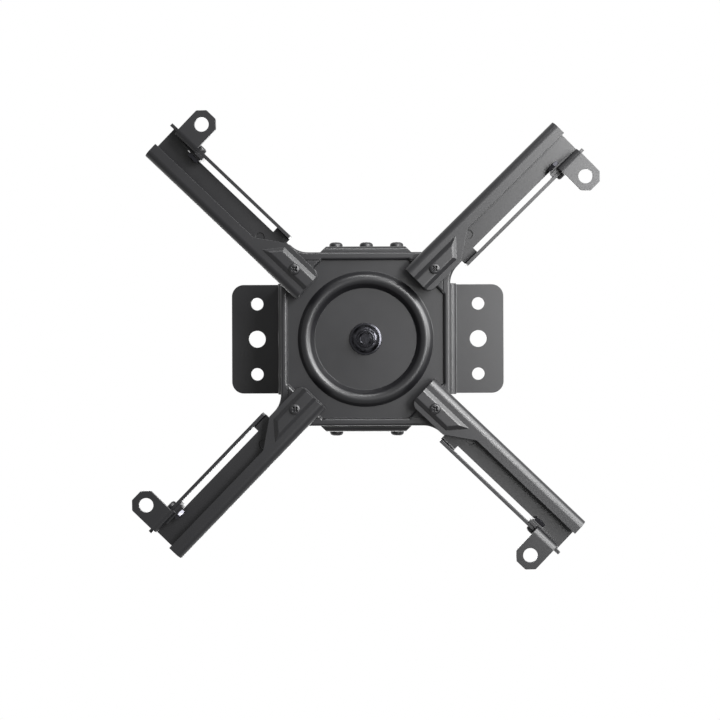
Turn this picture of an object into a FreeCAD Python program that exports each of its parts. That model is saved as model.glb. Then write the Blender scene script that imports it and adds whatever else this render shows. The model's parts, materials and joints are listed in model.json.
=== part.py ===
import FreeCAD, Part
import math
import os
import Sketcher
from FreeCAD import Placement, Rotation, Vector

# Low ceiling mount for a projector, hanging from the ceiling face at z = 0.
# +Z is up, +X to the right wing, and everything hangs below the origin.
# A hat-shaped bracket is screwed to the ceiling. A yoke tilts on its two ears,
# a pressed pan swivels under the yoke on one bolt, four folded arms swing on
# the corners of the pan, and a hooked tab slides along the rail of each arm.

# Driving sizes in millimetres and degrees: name, value, what it is.
SIZES = [
    ("gauge", 2.0, "sheet thickness of every folded part"),
    ("fold", 1.0, "inside radius of a tight fold"),
    ("pin_clearance", 0.1, "radial running clearance of a screw in its hole"),
    ("thread_clearance", 0.05, "radial gap between a nut and its screw"),
    ("wing_span", 174.0, "ceiling bracket, tip to tip of its wings"),
    ("wing_depth", 69.6, "width of the wings along Y"),
    ("wing_corner", 7.6, "outer corner radius of a wing"),
    ("hat_width", 112.0, "outside of the two bracket walls"),
    ("hat_height", 22.0, "ceiling face to the underside of the crown"),
    ("row_spacing", 141.6, "distance between the two rows of ceiling holes"),
    ("screw_pitch", 45.0, "distance between the screw holes of a row"),
    ("screw_hole", 8.0, "diameter of the four ceiling screw holes"),
    ("anchor_hole", 10.8, "diameter of the two ceiling anchor holes"),
    ("ear_width", 48.0, "width of a tilt ear"),
    ("ear_span", 108.4, "outside of the two bracket ears"),
    ("ear_margin", 10.0, "tilt ear beyond the tilt axis"),
    ("ear_corner", 6.0, "corner radius of a tilt ear"),
    ("ear_gap", 0.2, "running gap between bracket ear and yoke ear"),
    ("tilt_drop", 34.0, "ceiling face to the tilt axis"),
    ("tilt_limit", 12.0, "tilt to either side that the slots allow"),
    ("lock_radius", 18.8, "tilt axis to a lock screw"),
    ("yoke_drop", 52.0, "ceiling face to the underside of the yoke"),
    ("yoke_width", 58.0, "width of the yoke base"),
    ("ear_screw", 5.0, "thread diameter of the tilt screws"),
    ("ear_head", 8.3, "head diameter of the tilt screws"),
    ("ear_head_height", 3.8, "head height of the tilt screws"),
    ("ear_nut_flats", 8.0, "across flats of the tilt nuts"),
    ("ear_nut_height", 4.0, "height of the tilt nuts"),
    ("rivet_head", 9.0, "formed head of the flush pivot rivet"),
    ("rivet_head_height", 1.5, "height of the formed rivet head"),
    ("bearing_height", 4.0, "thickness of the swivel bearing ring"),
    ("bearing_room", 3.75, "edge of the pan's disc to the bearing ring"),
    ("swivel_screw", 8.0, "thread diameter of the swivel bolt"),
    ("swivel_flats", 13.0, "across flats of the swivel bolt and nut"),
    ("swivel_head_height", 5.3, "head height of the swivel bolt"),
    ("swivel_tip", 2.0, "swivel bolt beyond its nut"),
    ("washer_diameter", 19.4, "outside of the swivel washer"),
    ("washer_height", 1.6, "thickness of the swivel washer"),
    ("nut_flange", 17.0, "flange diameter of the swivel nut"),
    ("nut_height", 6.8, "height of the swivel nut below its collar"),
    ("collar_diameter", 12.8, "locking collar of the swivel nut"),
    ("collar_height", 1.9, "height of the locking collar"),
    ("bead_margin", 11.35, "outer edge of the bead to the pan's side along Y"),
    ("bead_run_out", 5.45, "crest of the bead to its outer edge"),
    ("bead_run_in", 4.65, "crest of the bead to the flat disc inside it"),
    ("bead_rise", 7.6, "sharp corner of the bead below the disc"),
    ("bead_sheet", 3.2, "sheet at the bead's crest, measured upright"),
    ("bead_round", 4.0, "radius of the bead's crest"),
    ("panel_step", 2.0, "octagon panel below the disc"),
    ("pad_step", 3.0, "corner pads below the octagon panel"),
    ("panel_margin_x", 4.0, "panel's step to the pan's side along X"),
    ("panel_margin_y", 4.6, "panel's step to the pan's side along Y"),
    ("pad_room", 6.5, "panel's step at a corner to the arm screw"),
    ("pan_inset", 2.0, "pan's side along Y to the bracket's ear"),
    ("pan_narrowing", 1.2, "how much nearer the pan's side along X is"),
    ("pan_lug_half", 8.2, "half width of a corner lug"),
    ("lug_tail", 15.0, "arm screw to the end of a corner lug"),
    ("pan_lug_corner", 2.0, "corner radius at the end of a lug"),
    ("pan_notch", 15.0, "hollow corner between lug and side"),
    ("pan_edge", 1.5, "rolled edge of the pan"),
    ("pan_flange", 9.5, "height of the pan's four side flanges"),
    ("groove_width", 0.6, "pressed groove that sets the rim off from the corner pads"),
    ("groove_depth", 0.7, "depth of that groove"),
    ("arm_inset", 12.8, "arm screw to the bracket's ear, along X and along Y"),
    ("arm_root", 12.4, "arm behind its screw"),
    ("arm_reach", 111.1, "arm beyond its screw"),
    ("rail_nub", 1.2, "rail beyond the end of the arm"),
    ("arm_height", 12.0, "height of the folded arm section"),
    ("arm_wall", 12.6, "arm screw to the outside of the tall wall"),
    ("arm_bend", 4.5, "outside radius of the arm's large bend"),
    ("lip_edge", 3.2, "arm screw to the free edge of the long lip"),
    ("root_edge", 8.0, "arm screw to the free edge of the wide root"),
    ("root_length", 13.9, "arm screw to the end of the wide root"),
    ("root_slope", 16.9, "length over which the root narrows"),
    ("root_corner", 4.5, "rounded inner corner of the root"),
    ("rail_face", 10.6, "arm screw to the inside face of the rail"),
    ("rail_height", 11.5, "height of the rail from the arm's back"),
    ("rail_start", 15.4, "arm screw to the start of the rail"),
    ("web_slot_width", 3.5, "long slot in the web beside the rail"),
    ("web_slot_start", 25.7, "arm screw to the start of the web slot"),
    ("web_slot_inset", 14.6, "end of the web slot to the end of the arm"),
    ("track_start", 26.0, "arm screw to the start of the rail's track"),
    ("track_rise", 6.5, "arm's back to the middle of the rail's track"),
    ("dimple_offset", 29.3, "arm screw to the small dimple of the web"),
    ("dimple", 5.4, "diameter of that dimple"),
    ("dimple_depth", 0.8, "depth of that dimple"),
    ("dimple_side", 0.7, "how far that dimple lies towards the tall wall"),
    ("boss_width", 10.2, "width of the raised boss at the arm screw"),
    ("boss_rise", 1.7, "height of that boss"),
    ("boss_long", 22.5, "arm screw to the boss's far corner"),
    ("boss_short", 13.4, "arm screw to the boss's near corner"),
    ("boss_draft", 52.0, "slope of the boss's sides"),
    ("boss_inset", 2.4, "wall between the boss's outside and its hollow"),
    ("boss_round", 1.6, "rounded edge of the boss"),
    ("arm_screw", 4.0, "thread diameter of arm and tab screws"),
    ("arm_head", 6.4, "head diameter of an arm screw"),
    ("arm_head_height", 2.4, "head height of an arm screw"),
    ("arm_bush", 9.6, "outside of the bush inside an arm"),
    ("arm_nut_flats", 7.0, "across flats of arm and tab nuts"),
    ("arm_nut_height", 3.2, "height of an arm nut"),
    ("screw_tail", 2.0, "screw beyond its nut"),
    ("screw_lead", 0.5, "chamfer at a screw's tip"),
    ("tab_drop", 16.0, "arm's back to the far face of a tab plate"),
    ("tab_width", 15.9, "width of a tab plate"),
    ("tab_hole_ahead", 8.0, "tab screw to the tab hole, along the arm"),
    ("tab_hole_side", 23.9, "arm screw to the tab hole, across the arm"),
    ("tab_hole", 8.5, "diameter of the tab hole"),
    ("tab_rim", 8.1, "tab hole to the end of the tab plate"),
    ("tab_chamfer", 4.3, "cut corners of the tab plate"),
    ("tab_round", 1.2, "rounded edges of the cut corners"),
    ("tab_bend", 4.2, "outside radius of the tab's bend"),
    ("tab_foot", 3.0, "arm's back to the far edge of the tab leg"),
    ("tab_leg_height", 9.4, "height of the wide end of the tab leg"),
    ("tab_screw_inset", 18.0, "tab screw to the end of the arm, at the outer stop"),
    ("tab_leg_margin", 5.6, "tab leg beyond its screw"),
    ("tab_head", 6.4, "head diameter of a tab screw"),
    ("tab_head_height", 2.6, "head height of a tab screw"),
    ("tab_nut_height", 2.4, "height of a tab nut"),
    ("tab_tail", 0.3, "tab screw beyond its nut"),
    ("clamp_sheet", 1.2, "thickness of a clamp plate"),
    ("clamp_length", 13.9, "length of a clamp plate"),
    ("clamp_height", 7.0, "height of a clamp plate"),
    ("clamp_margin", 4.6, "clamp plate beyond the tab screw"),
    ("setback_back_right", 1.4, "tab drawn in from its outer stop"),
    ("setback_front_left", 3.05, "tab drawn in from its outer stop"),
]


class Size:
    """A length together with the sheet expression that gives it."""

    def __init__(self, value, text):
        self.value = value
        self.text = text

    def __neg__(self):
        return Size(-self.value, "-(" + self.text + ")")

    def __add__(self, other):
        other = as_size(other)
        return Size(self.value + other.value, "(" + self.text + " + " + other.text + ")")

    def __sub__(self, other):
        other = as_size(other)
        return Size(self.value - other.value, "(" + self.text + " - " + other.text + ")")

    def __mul__(self, factor):
        factor = as_size(factor)
        return Size(self.value * factor.value, "(" + self.text + " * " + factor.text + ")")

    def __truediv__(self, factor):
        factor = as_size(factor)
        return Size(self.value / factor.value, "(" + self.text + " / " + factor.text + ")")

    __radd__ = __add__
    __rmul__ = __mul__

    def __rsub__(self, other):
        return as_size(other) - self


def as_size(term):
    if isinstance(term, Size):
        return term
    return Size(float(term), "(%.9f)" % term)


def sine(angle):
    return Size(math.sin(math.radians(angle.value)), "sin(" + angle.text + " * 1 deg)")


def cosine(angle):
    return Size(math.cos(math.radians(angle.value)), "cos(" + angle.text + " * 1 deg)")


class Dimensions:
    """The cells of the sheet, read by name."""


doc = FreeCAD.newDocument("projector_ceiling_mount")
sheet = doc.addObject("Spreadsheet::Sheet", "Sizes")
dim = Dimensions()
for row, (name, number, note) in enumerate(SIZES, start=1):
    sheet.set("A%d" % row, name)
    sheet.set("B%d" % row, str(number))
    sheet.set("C%d" % row, note)
    sheet.setAlias("B%d" % row, name)
    setattr(dim, name, Size(number, "Sizes." + name))
doc.recompute()

# Levels along Z, from the ceiling down.
YOKE_FACE = -dim.yoke_drop
DISC_BACK = YOKE_FACE - dim.bearing_height
DISC_FACE = DISC_BACK - dim.gauge
PANEL_BACK = DISC_BACK - dim.panel_step
PANEL_FACE = PANEL_BACK - dim.gauge
PAD_BACK = PANEL_BACK - dim.pad_step
PAD_FACE = PAD_BACK - dim.gauge
ARM_BACK = PAD_FACE
WEB_FACE = ARM_BACK - dim.gauge
LIP_FACE = ARM_BACK - dim.arm_height
BOSS_FACE = LIP_FACE - dim.boss_rise
TRACK_LEVEL = ARM_BACK - dim.track_rise
TAB_BACK = ARM_BACK - dim.tab_drop
TAB_FACE = TAB_BACK - dim.gauge

# The pan follows the bracket's ears, and its bead and its corners follow the pan.
PAN_HALF_Y = dim.ear_span / 2 - dim.pan_inset
PAN_HALF_X = PAN_HALF_Y - dim.pan_narrowing
PANEL_HALF_X = PAN_HALF_X - dim.panel_margin_x
PANEL_HALF_Y = PAN_HALF_Y - dim.panel_margin_y
BEAD_OUTER = PAN_HALF_Y - dim.bead_margin
BEAD_RADIUS = BEAD_OUTER - dim.bead_run_out
DISC_RADIUS = BEAD_RADIUS - dim.bead_run_in
ARM_SPREAD = dim.ear_span / 2 - dim.arm_inset
ARM_RADIUS = ARM_SPREAD * math.sqrt(2)

# The tab's outer stop follows the arm, and its plate follows its screw.
TAB_SCREW = dim.arm_reach - dim.tab_screw_inset
TAB_HOLE = TAB_SCREW + dim.tab_hole_ahead
TAB_END = dim.tab_hole_side + dim.tab_rim

# How far a cut runs past the sheet, and the outside radius of a tight bend.
OVER = dim.gauge * 2
BEND = dim.gauge + dim.fold

pieces = []


def new_body(label):
    """An empty body that becomes one piece of the mount."""
    body = doc.addObject("PartDesign::Body", label)
    body.Label = label
    pieces.append(body)
    return body


def bind(thing, prop, size):
    """Give a property its value and the expression that keeps it."""
    size = as_size(size)
    setattr(thing, prop, size.value)
    thing.setExpression(prop, size.text)


def place(body, corner, turn, spot=(0, 0, 0)):
    """Put a body at spot, given in the frame of corner, with its own turn there."""
    base, spin = corner
    local = [as_size(value) for value in spot]
    angle = math.radians(spin)
    along = (round(math.cos(angle), 12), round(math.sin(angle), 12))
    shift = (
        base[0] + local[0] * along[0] - local[1] * along[1],
        base[1] + local[0] * along[1] + local[1] * along[0],
        local[2],
    )
    rotation = Rotation(Vector(0, 0, 1), spin).multiply(turn)
    body.Placement = Placement(Vector(*[value.value for value in shift]), rotation)
    for axis, value in zip("xyz", shift):
        body.setExpression("Placement.Base." + axis, value.text)


CENTRE = ((as_size(0), as_size(0)), 0)
UPRIGHT = Rotation()
HEAD_DOWN = Rotation(Vector(1, 0, 0), 180)
HEAD_FRONT = Rotation(Vector(1, 0, 0), 90)
HEAD_BACK = Rotation(Vector(1, 0, 0), -90)

ROLES = {"x": "YZ_Plane", "y": "XZ_Plane", "z": "XY_Plane"}


def new_sketch(body, name, axis, level):
    """A sketch across the given axis of its own body, at a level along that axis."""
    sketch = body.newObject("Sketcher::SketchObject", name)
    plane = [item for item in body.Origin.OriginFeatures if item.Role == ROLES[axis]][0]
    sketch.AttachmentSupport = [(plane, "")]
    sketch.MapMode = "FlatFace"
    lift = -as_size(level) if axis == "y" else as_size(level)
    sketch.AttachmentOffset = Placement(Vector(0, 0, lift.value), Rotation())
    sketch.setExpression("AttachmentOffset.Base.z", lift.text)
    return sketch


def add_ties(sketch, ties):
    """Dimensions of a sketch: (kind, element, point, size), bound to the sheet."""
    made = []
    for kind, element, point, size in ties:
        if kind == "Radius":
            made.append(Sketcher.Constraint(kind, element, size.value))
        else:
            made.append(Sketcher.Constraint(kind, -1, 1, element, point, size.value))
    for index, (kind, element, point, size) in zip(sketch.addConstraint(made), ties):
        sketch.setExpression("Constraints[%d]" % index, size.text)


def add_polygon(sketch, corners):
    """A closed outline of straight edges through the given corners."""
    points = [(as_size(across), as_size(up)) for across, up in corners]
    first = sketch.GeometryCount
    count = len(points)
    spots = [Vector(across.value, up.value, 0) for across, up in points]
    edges = [Part.LineSegment(spots[i], spots[(i + 1) % count]) for i in range(count)]
    sketch.addGeometry(edges, False)
    joints = []
    for i in range(count):
        joints.append(Sketcher.Constraint("Coincident", first + i, 2, first + (i + 1) % count, 1))
    sketch.addConstraint(joints)
    ties = []
    for i, (across, up) in enumerate(points):
        ties.append(("DistanceX", first + i, 1, across))
        ties.append(("DistanceY", first + i, 1, up))
    add_ties(sketch, ties)


def add_circle(sketch, across, up, diameter):
    """A round outline at the given middle."""
    across = as_size(across)
    up = as_size(up)
    radius = as_size(diameter) / 2
    middle = Vector(across.value, up.value, 0)
    number = sketch.addGeometry(Part.Circle(middle, Vector(0, 0, 1), radius.value), False)
    add_ties(sketch, [
        ("DistanceX", number, 3, across),
        ("DistanceY", number, 3, up),
        ("Radius", number, 3, radius),
    ])


def draw(sketch, shapes):
    """Each shape is a list of corners, or a (across, up, diameter) circle."""
    for shape in shapes:
        if isinstance(shape, list):
            add_polygon(sketch, shape)
        else:
            add_circle(sketch, *shape)


def changed(body, before, grows):
    """Recompute, and stop if a feature did nothing."""
    doc.recompute()
    after = body.Shape.Volume
    if grows and after <= before or not grows and after >= before:
        raise ValueError(body.Label + ": " + body.Tip.Label + " changes nothing")


def add_slab(body, name, axis, low, high, shapes):
    """Material between two levels along an axis."""
    before = body.Shape.Volume if body.Tip else 0.0
    low = as_size(low)
    high = as_size(high)
    sketch = new_sketch(body, name + "_outline", axis, high if axis == "y" else low)
    draw(sketch, shapes)
    pad = body.newObject("PartDesign::Pad", name)
    pad.Profile = sketch
    bind(pad, "Length", high - low)
    changed(body, before, True)


def cut_slab(body, name, axis, low, high, shapes):
    """A cut between two levels along an axis."""
    before = body.Shape.Volume
    low = as_size(low)
    high = as_size(high)
    sketch = new_sketch(body, name + "_outline", axis, low if axis == "y" else high)
    draw(sketch, shapes)
    pocket = body.newObject("PartDesign::Pocket", name)
    pocket.Profile = sketch
    bind(pocket, "Length", high - low)
    changed(body, before, False)


def add_drafted(body, name, level, height, corners, slope):
    """Material that hangs below a level, with sides that lean inwards."""
    before = body.Shape.Volume
    sketch = new_sketch(body, name + "_outline", "z", level)
    draw(sketch, [corners])
    pad = body.newObject("PartDesign::Pad", name)
    pad.Profile = sketch
    pad.Reversed = True
    bind(pad, "Length", height)
    bind(pad, "TaperAngle", -slope)
    changed(body, before, True)


def add_turned(body, name, profile):
    """Material turned about the body's Z axis from a (radius, level) profile."""
    before = body.Shape.Volume if body.Tip else 0.0
    sketch = new_sketch(body, name + "_profile", "y", 0)
    draw(sketch, [profile])
    turned = body.newObject("PartDesign::Revolution", name)
    turned.Profile = sketch
    turned.ReferenceAxis = (sketch, ["V_Axis"])
    turned.Angle = 360
    changed(body, before, True)


def cut_turned(body, name, profile):
    """A cut turned about the body's Z axis from a (radius, level) profile."""
    before = body.Shape.Volume
    sketch = new_sketch(body, name + "_profile", "y", 0)
    draw(sketch, [profile])
    groove = body.newObject("PartDesign::Groove", name)
    groove.Profile = sketch
    groove.ReferenceAxis = (sketch, ["V_Axis"])
    groove.Angle = 360
    changed(body, before, False)


OTHER_AXES = {"x": (1, 2), "y": (0, 2), "z": (0, 1)}
TOUCH = 0.001


def straight_edges(body, axis, spots):
    """Names of the straight edges along an axis that stand at the given spots."""
    first, second = OTHER_AXES[axis]
    targets = [(as_size(across).value, as_size(up).value) for across, up in spots]
    names = []
    for number, edge in enumerate(body.Tip.Shape.Edges, start=1):
        if not isinstance(edge.Curve, Part.Line):
            continue
        ends = [vertex.Point for vertex in edge.Vertexes]
        for across, up in targets:
            if all(math.hypot(end[first] - across, end[second] - up) < TOUCH for end in ends):
                names.append("Edge%d" % number)
    return names


def ring_edges(body, rings):
    """Names of the circular edges about Z with the given (radius, level)."""
    targets = [(as_size(radius).value, as_size(level).value) for radius, level in rings]
    names = []
    for number, edge in enumerate(body.Tip.Shape.Edges, start=1):
        if not isinstance(edge.Curve, Part.Circle):
            continue
        for radius, level in targets:
            if abs(edge.Curve.Radius - radius) < TOUCH and abs(edge.Curve.Center.z - level) < TOUCH:
                names.append("Edge%d" % number)
    return names


def level_edges(body, level):
    """Names of the edges that lie in the plane z = level."""
    height = as_size(level).value
    names = []
    for number, edge in enumerate(body.Tip.Shape.Edges, start=1):
        box = edge.BoundBox
        if abs(box.ZMin - height) < TOUCH and abs(box.ZMax - height) < TOUCH:
            names.append("Edge%d" % number)
    return names


def round_edges(body, name, edges, radius):
    """Round the named edges of the body's last feature."""
    if not edges:
        raise ValueError(body.Label + ": " + name + " finds no edge")
    base = body.Tip
    fillet = body.newObject("PartDesign::Fillet", name)
    fillet.Base = (base, edges)
    bind(fillet, "Radius", radius)
    doc.recompute()


def box_corners(left, right, low, high):
    return [(left, low), (right, low), (right, high), (left, high)]


def both_signs(across, up):
    """The four spots that mirror one spot across both axes."""
    return [(across, up), (-across, up), (-across, -up), (across, -up)]


def hexagon(flats):
    """Corners of a hexagon about the origin, by its size across flats."""
    reach = flats / 2 / math.cos(math.radians(30))
    angles = [math.radians(60 * i) for i in range(6)]
    return [(reach * round(math.cos(a), 9), reach * round(math.sin(a), 9)) for a in angles]


def diagonal(reach):
    """How far along X, and along Y, a reach along a diagonal goes."""
    return reach * math.sqrt(0.5)


# Ceiling bracket

def make_ceiling_bracket():
    """One folded sheet: two wings, two walls, a crown and two tilt ears."""
    body = new_body("ceiling_bracket")
    tip = dim.wing_span / 2
    wall = dim.hat_width / 2
    inner = wall - dim.gauge
    floor = -dim.hat_height
    side = dim.wing_depth / 2
    hat = [
        (-tip, 0), (-inner, 0), (-inner, floor + dim.gauge), (inner, floor + dim.gauge),
        (inner, 0), (tip, 0), (tip, -dim.gauge), (wall, -dim.gauge),
        (wall, floor), (-wall, floor), (-wall, -dim.gauge), (-tip, -dim.gauge),
    ]
    add_slab(body, "hat", "y", -side, side, [hat])
    wide = [(-inner, 0), (inner, 0), (wall, floor), (-wall, floor)]
    tight = [(-wall, -dim.gauge), (wall, -dim.gauge),
             (-inner, floor + dim.gauge), (inner, floor + dim.gauge)]
    round_edges(body, "hat_bends", straight_edges(body, "y", wide), BEND)
    round_edges(body, "hat_folds", straight_edges(body, "y", tight), dim.fold)
    half = dim.ear_width / 2
    end = dim.ear_span / 2
    tongue = box_corners(-half, half, -end, end)
    add_slab(body, "tongues", "z", floor, floor + dim.gauge, [tongue])
    drop = -dim.tilt_drop - dim.ear_margin
    ear = box_corners(-half, half, drop, floor + dim.gauge)
    add_slab(body, "back_ear", "y", end - dim.gauge, end, [ear])
    add_slab(body, "front_ear", "y", -end, dim.gauge - end, [ear])
    top_edges = [(-end, floor + dim.gauge), (end, floor + dim.gauge)]
    low_edges = [(dim.gauge - end, floor), (end - dim.gauge, floor)]
    round_edges(body, "ear_bends", straight_edges(body, "x", top_edges), BEND)
    round_edges(body, "ear_folds", straight_edges(body, "x", low_edges), dim.fold)
    low_corners = straight_edges(body, "y", [(-half, drop), (half, drop)])
    round_edges(body, "ear_corners", low_corners, dim.ear_corner)
    wing_corners = straight_edges(body, "z", both_signs(tip, side))
    round_edges(body, "wing_corners", wing_corners, dim.wing_corner)
    row = dim.row_spacing / 2
    holes = [(x, y, dim.screw_hole) for x, y in both_signs(row, dim.screw_pitch / 2)]
    holes += [(row, 0, dim.anchor_hole), (-row, 0, dim.anchor_hole)]
    cut_slab(body, "ceiling_holes", "z", -OVER, OVER, holes)
    bore = dim.ear_screw + dim.pin_clearance * 2
    axles = [(spot, -dim.tilt_drop, bore) for spot in (-dim.lock_radius, 0, dim.lock_radius)]
    cut_slab(body, "ear_holes", "y", -end - OVER, end + OVER, axles)


# Tilt yoke

YOKE_END = dim.ear_span / 2 + dim.ear_gap + dim.gauge


def make_tilt_yoke():
    """A folded U whose ears stand outside the bracket's ears, with curved slots."""
    body = new_body("tilt_yoke")
    half = dim.ear_width / 2
    wide = dim.yoke_width / 2
    neck = YOKE_END - (wide - half)
    top = dim.ear_margin - dim.tilt_drop
    inner = YOKE_END - dim.gauge
    floor = YOKE_FACE + dim.gauge
    channel = [
        (-YOKE_END, YOKE_FACE), (YOKE_END, YOKE_FACE), (YOKE_END, top), (inner, top),
        (inner, floor), (-inner, floor), (-inner, top), (-YOKE_END, top),
    ]
    add_slab(body, "channel", "x", -wide, wide, [channel])
    outer = [(-YOKE_END, YOKE_FACE), (YOKE_END, YOKE_FACE)]
    round_edges(body, "ear_bends", straight_edges(body, "x", outer), BEND)
    inside = [(-inner, floor), (inner, floor)]
    round_edges(body, "ear_folds", straight_edges(body, "x", inside), dim.fold)
    past = YOKE_END + OVER
    beside = wide + OVER
    slants = []
    for x_sign, y_sign in ((1, 1), (-1, 1), (-1, -1), (1, -1)):
        slant = [(half, past), (half, YOKE_END), (wide, neck), (beside, neck), (beside, past)]
        slants.append([(x * x_sign, y * y_sign) for x, y in slant])
    cut_slab(body, "slanted_corners", "z", YOKE_FACE - OVER, top + OVER, slants)
    shoulder = YOKE_FACE + BEND
    strips = [box_corners(half, beside, shoulder, top + OVER),
              box_corners(-beside, -half, shoulder, top + OVER)]
    cut_slab(body, "ear_sides", "y", -past, past, strips)
    corners = straight_edges(body, "y", [(-half, top), (half, top)])
    round_edges(body, "ear_corners", corners, dim.ear_corner)
    bore = dim.ear_screw + dim.pin_clearance * 2
    cut_slab(body, "axle_holes", "y", -YOKE_END - OVER, YOKE_END + OVER, [(0, -dim.tilt_drop, bore)])
    before = body.Shape.Volume
    sketch = new_sketch(body, "lock_slot_section", "z", -dim.tilt_drop)
    near = dim.lock_radius - bore / 2
    far = dim.lock_radius + bore / 2
    reach = YOKE_END + OVER
    draw(sketch, [box_corners(near, far, -reach, reach), box_corners(-far, -near, -reach, reach)])
    slots = body.newObject("PartDesign::Groove", "lock_slots")
    slots.Profile = sketch
    slots.ReferenceAxis = (sketch, ["V_Axis"])
    slots.Midplane = True
    bind(slots, "Angle", dim.tilt_limit * 2)
    changed(body, before, False)
    ends = both_signs(dim.lock_radius * cosine(dim.tilt_limit), dim.lock_radius * sine(dim.tilt_limit))
    rounds = [(x, z - dim.tilt_drop, bore) for x, z in ends]
    cut_slab(body, "lock_slot_ends", "y", -reach, reach, rounds)
    hole = dim.swivel_screw + dim.pin_clearance * 2
    cut_slab(body, "swivel_hole", "z", YOKE_FACE - OVER, YOKE_FACE + OVER, [(0, 0, hole)])


# Swivel pan

def octagon(grow):
    """The pressed panel's outline, grown outwards by a margin."""
    half_x = PANEL_HALF_X + grow
    half_y = PANEL_HALF_Y + grow
    slant = (ARM_RADIUS - dim.pad_room + grow) * math.sqrt(2)
    quarter = [(half_x, slant - half_x), (slant - half_y, half_y)]
    outline = quarter + [(-x, y) for x, y in reversed(quarter)]
    outline += [(-x, -y) for x, y in quarter]
    return outline + [(x, -y) for x, y in reversed(quarter)]


def make_swivel_pan():
    """A pressed square pan with a lug at each corner and a round bead."""
    body = new_body("swivel_pan")
    side_x = PAN_HALF_X
    side_y = PAN_HALF_Y
    lug_reach = ARM_RADIUS + dim.lug_tail
    lean = dim.pan_lug_half * math.sqrt(2)
    near = diagonal(lug_reach - dim.pan_lug_half)
    far = diagonal(lug_reach + dim.pan_lug_half)
    quarter = [(side_x, side_x - lean), (far, near), (near, far), (side_y - lean, side_y)]
    outline = quarter + [(-x, y) for x, y in reversed(quarter)]
    outline += [(-x, -y) for x, y in quarter]
    outline += [(x, -y) for x, y in reversed(quarter)]
    add_slab(body, "sheet", "z", PAD_FACE, PAD_BACK, [outline])
    notches = both_signs(side_x, side_x - lean) + both_signs(side_y - lean, side_y)
    round_edges(body, "notches", straight_edges(body, "z", notches), dim.pan_notch)
    lug_corners = both_signs(far, near) + both_signs(near, far)
    round_edges(body, "lug_corners", straight_edges(body, "z", lug_corners), dim.pan_lug_corner)
    run = dim.pan_notch * math.tan(math.radians(45 / 2))
    long_x = side_x - lean - run
    long_y = side_y - lean - run
    top = PAD_FACE + dim.pan_flange
    flanges = [
        box_corners(side_x - dim.gauge, side_x, -long_x, long_x),
        box_corners(-side_x, dim.gauge - side_x, -long_x, long_x),
        box_corners(-long_y, long_y, side_y - dim.gauge, side_y),
        box_corners(-long_y, long_y, -side_y, dim.gauge - side_y),
    ]
    add_slab(body, "flanges", "z", PAD_BACK - dim.gauge / 2, top, flanges)
    add_slab(body, "raised_panel", "z", PAD_BACK - dim.gauge / 2, PANEL_BACK, [octagon(dim.gauge)])
    cut_slab(body, "panel", "z", PAD_FACE - OVER, PANEL_FACE, [octagon(as_size(0))])
    round_edges(body, "rolled_edge", level_edges(body, PAD_FACE), dim.pan_edge)
    near_x = PANEL_HALF_X - dim.groove_width
    near_y = PANEL_HALF_Y - dim.groove_width
    ends_x = near_x - dim.pan_lug_half
    ends_y = near_y - dim.pan_lug_half
    grooves = [
        box_corners(near_x, PANEL_HALF_X, -ends_y, ends_y),
        box_corners(-PANEL_HALF_X, -near_x, -ends_y, ends_y),
    ]
    cut_slab(body, "side_grooves", "z", PAD_FACE - OVER, PAD_FACE + dim.groove_depth, grooves)
    grooves = [
        box_corners(-ends_x, ends_x, near_y, PANEL_HALF_Y),
        box_corners(-ends_x, ends_x, -PANEL_HALF_Y, -near_y),
    ]
    cut_slab(body, "end_grooves", "z", PAD_FACE - OVER, PAD_FACE + dim.groove_depth, grooves)
    hub = BEAD_OUTER + dim.gauge / 2
    cut_slab(body, "hub_opening", "z", PANEL_FACE - OVER, PANEL_BACK + OVER, [(0, 0, hub * 2)])
    crest = DISC_FACE - dim.bead_rise
    bore = dim.swivel_screw / 2 + dim.pin_clearance
    hub_profile = [
        (bore, DISC_FACE), (DISC_RADIUS, DISC_FACE), (BEAD_RADIUS, crest),
        (BEAD_OUTER, PANEL_FACE), (hub, PANEL_FACE), (hub, PANEL_BACK),
        (BEAD_OUTER - dim.fold / 2, PANEL_BACK), (BEAD_RADIUS, crest + dim.bead_sheet),
        (DISC_RADIUS + dim.fold / 2, DISC_BACK), (bore, DISC_BACK),
    ]
    add_turned(body, "hub", hub_profile)
    round_edges(body, "bead_crest", ring_edges(body, [(BEAD_RADIUS, crest)]), dim.bead_round)
    bore = dim.arm_screw + dim.pin_clearance * 2
    holes = [(x, y, bore) for x, y in both_signs(ARM_SPREAD, ARM_SPREAD)]
    cut_slab(body, "lug_holes", "z", PAD_FACE - OVER, PAD_BACK + OVER, holes)


# Arm

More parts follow.
